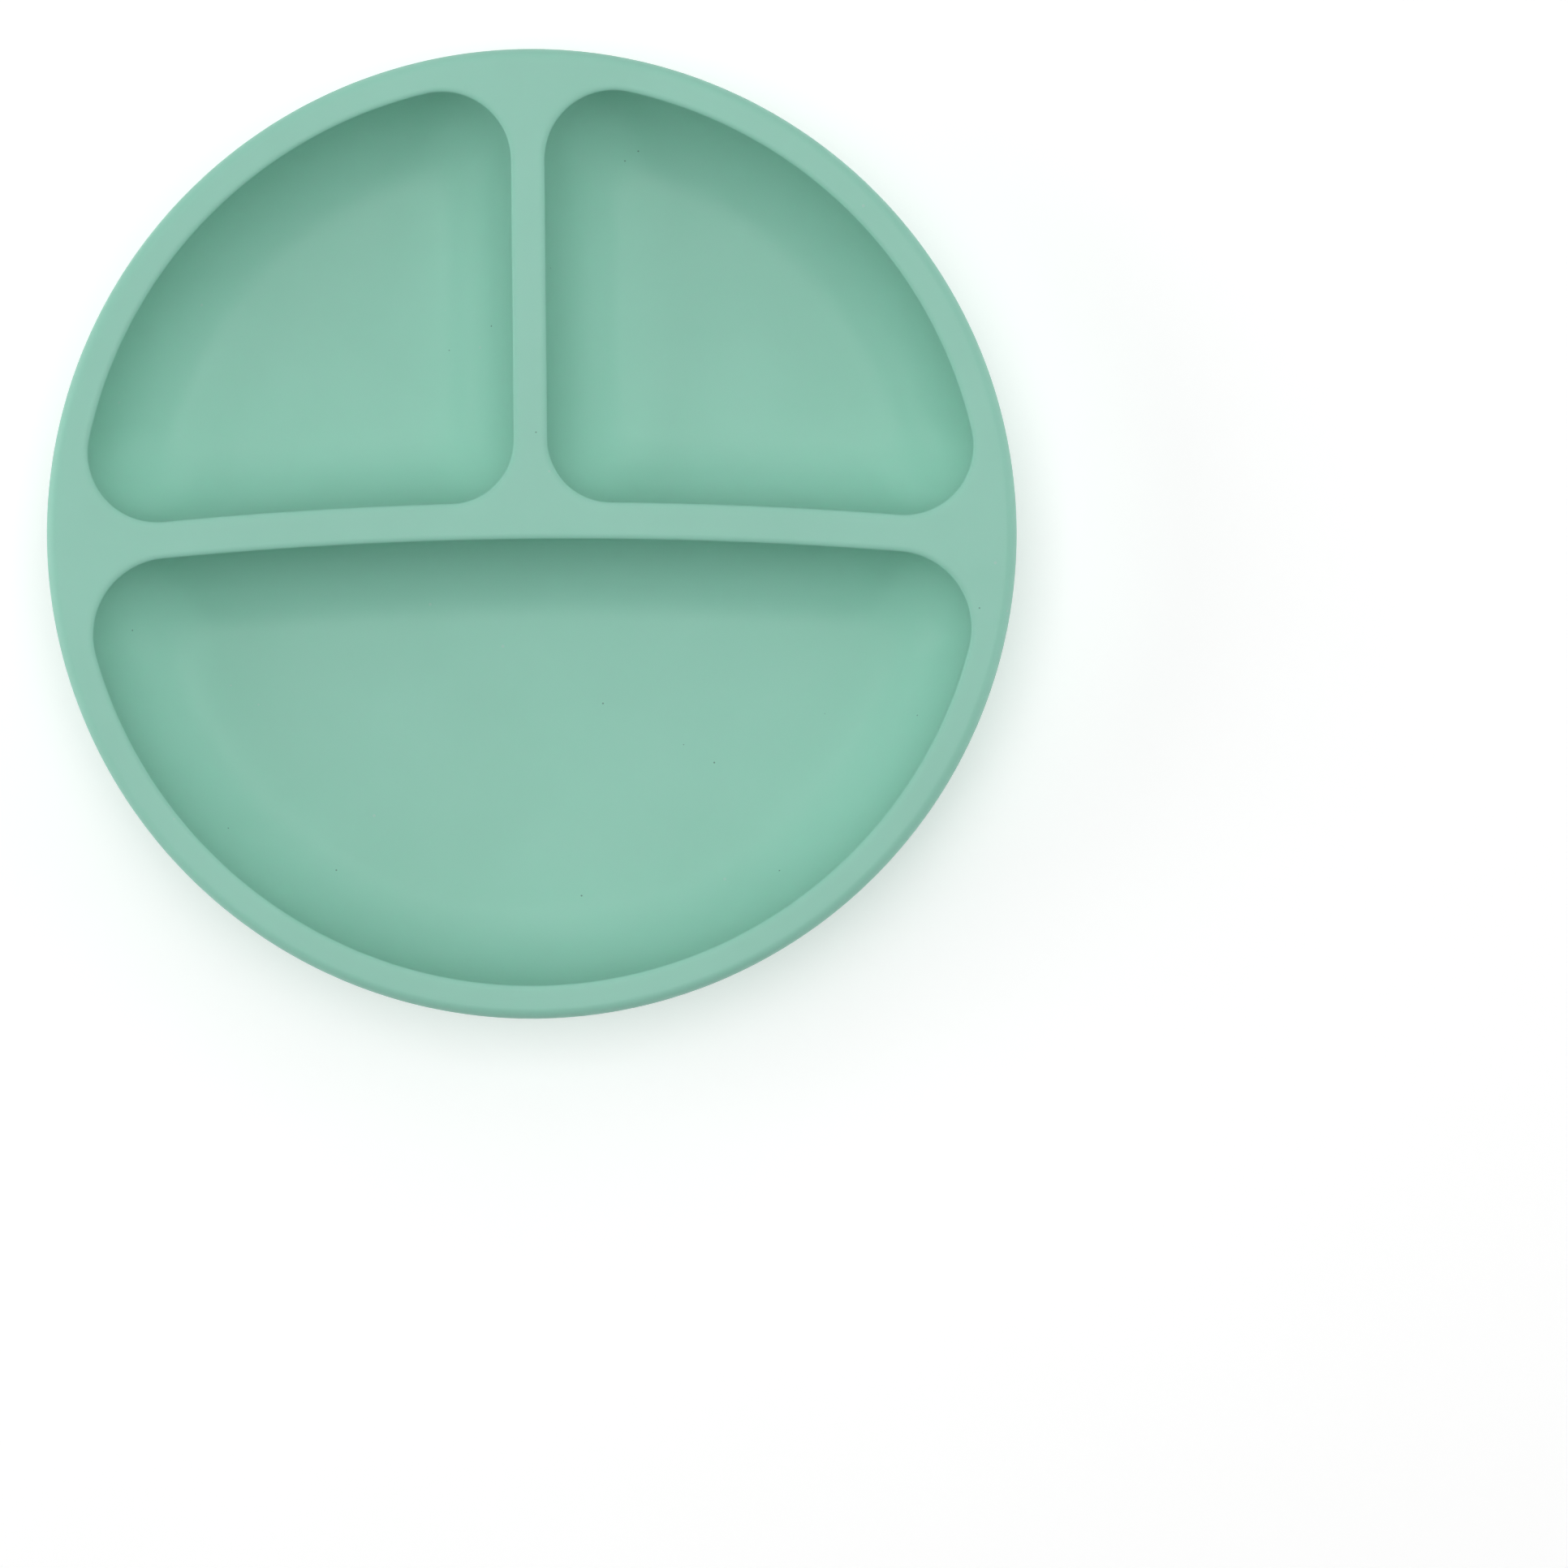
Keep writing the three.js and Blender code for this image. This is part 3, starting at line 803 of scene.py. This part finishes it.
# %% [markdown]
# ## Floor and light
#
# The plate lies on a plain white table under soft studio light. The strongest softbox hangs overhead, and three weaker
# ones stand to the left, the right and the back, so the rim has a light and a dark side but no wall falls into black.
# An even white surround fills what is left. The table glows a little, as a light table does, which keeps it white.

# %% Set up the floor, the backdrop, the softboxes and the surround
FLOOR_HALF = 1.45
FLOOR_GLOW = 0.28
FLOOR_BELOW_LIPS = 0.05
FLOOR_WHITES = (0.89, 0.89, 0.885, 1), (0.9, 0.9, 0.9, 1)
BACKDROP_SHADE = (0.80, 0.80, 0.80, 1)
SOFTBOX_SIZE = 1.2
SOFTBOX_DISTANCE = 1.6
SOFTBOXES = {  # degrees clockwise from the back, degrees up, and power in watts
    "overhead": (0, 88, 13.1),
    "back": (0, 45, 5.2),
    "left": (270, 20, 9.6),
    "right": (90, 20, 6.0),
}
SURROUND = 0.1


def make_stage_piece(name, points, faces):
    """A mesh in metres that belongs to the studio and not to the plate."""
    mesh = bpy.data.meshes.new(name)
    mesh.from_pydata(points, [], faces)
    piece = bpy.data.objects.new(name, mesh)
    bpy.context.scene.collection.objects.link(piece)
    piece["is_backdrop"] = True
    return piece


def make_floor():
    """A flat square just below the lips of the cups, with a faintly uneven white finish."""
    corners = [(x * FLOOR_HALF, y * FLOOR_HALF, -FLOOR_BELOW_LIPS * MM)
               for x, y in ((-1, -1), (1, -1), (1, 1), (-1, 1))]
    floor = make_stage_piece("table_top", corners, [(0, 1, 2, 3)])
    paint = Paint("white_table")
    paint.feed(paint.shader, {
        "Base Color": paint.mix(paint.noise(60, 2), *FLOOR_WHITES),
        "Roughness": 0.6 + 0.1 * paint.noise(25, 2),
        "Emission Color": (1, 1, 1, 1),
        "Emission Strength": FLOOR_GLOW,
    })
    floor.data.materials.append(paint.material)


def make_backdrop():
    """A tall pale wall round the table's edge. It is only looked at: it neither lights the plate nor shades it."""
    ring = arc(PLATE_CENTRE, FLOOR_HALF * 0.99, 0, 2 * math.pi, 64)
    points = np.vstack((at_height(ring, -0.1), at_height(ring, FLOOR_HALF)))
    backdrop = make_stage_piece("backdrop", points, grid_faces(2, len(ring)).tolist())
    paint = Paint("pale_backdrop")
    paint.feed(paint.shader, {"Base Color": (0, 0, 0, 1), "Emission Color": BACKDROP_SHADE,
                              "Emission Strength": 1.0, "Specular IOR Level": 0.0})
    backdrop.data.materials.append(paint.material)
    backdrop.visible_diffuse = backdrop.visible_glossy = backdrop.visible_transmission = False
    backdrop.visible_shadow = False


def make_softbox(name, clockwise, up, power):
    """A square lamp that faces the plate. The camera doesn't see it, only its light."""
    light = bpy.data.lights.new(name, "AREA")
    light.size = SOFTBOX_SIZE
    light.energy = power
    lamp = bpy.data.objects.new(name, light)
    clockwise, up = math.radians(clockwise), math.radians(up)
    level = SOFTBOX_DISTANCE * math.cos(up)
    height = SOFTBOX_DISTANCE * math.sin(up)
    lamp.location = (level * math.sin(clockwise), level * math.cos(clockwise), height)
    lamp.rotation_euler = (-lamp.location).to_track_quat("-Z", "Y").to_euler()
    lamp.visible_camera = False
    bpy.context.scene.collection.objects.link(lamp)


make_floor()
make_backdrop()
for name, (clockwise, up, power) in SOFTBOXES.items():
    make_softbox(f"softbox_{name}", clockwise, up, power)
world = bpy.data.worlds.new("white_surround")
world.use_nodes = True
world.node_tree.nodes["Background"].inputs["Color"].default_value = (1, 1, 1, 1)
world.node_tree.nodes["Background"].inputs["Strength"].default_value = SURROUND
bpy.context.scene.world = world
bpy.context.scene.view_settings.view_transform = "Standard"

# %% [markdown]
# ## Camera
#
# The camera looks straight down from well above, so the rim stays a true circle. The plate sits in the upper left of
# the picture, so the camera stands over a point to the right of the plate and in front of it. A small roll turns the
# plate as it was laid down. The height follows from the lens and from how wide the picture is at the deck.

# %% Place the camera
PICTURE_WIDTH = 306.4
LENS = 110.0
SENSOR = 36.0
PLATE_IN_PICTURE = (-49.4, 49.0)
ROLL = math.radians(-0.56)

camera_data = bpy.data.cameras.new("overhead_camera")
camera_data.lens = LENS
camera_data.sensor_width = SENSOR
camera_data.clip_start = 0.01
camera = bpy.data.objects.new("overhead_camera", camera_data)
across, up = PLATE_IN_PICTURE
camera.location = (
    -(across * math.cos(ROLL) - up * math.sin(ROLL)) * MM,
    -(across * math.sin(ROLL) + up * math.cos(ROLL)) * MM,
    (DECK_TOP + PICTURE_WIDTH * LENS / SENSOR) * MM,
)
camera.rotation_euler = (0, 0, ROLL)
bpy.context.scene.collection.objects.link(camera)
bpy.context.scene.camera = camera
print(f"camera {camera.location.z:.2f} m above the table")

# %% [markdown]
# ## The size
#
# The finished surfaces must stay inside the measured model's box, so both boxes are worked out side by side.

# %% Work out both boxes and finish
finished_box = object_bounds()
boxes = {"cad": measured_box, "visual": finished_box}
{name: [[float(n) for n in corner] for corner in box] for name, box in boxes.items()}
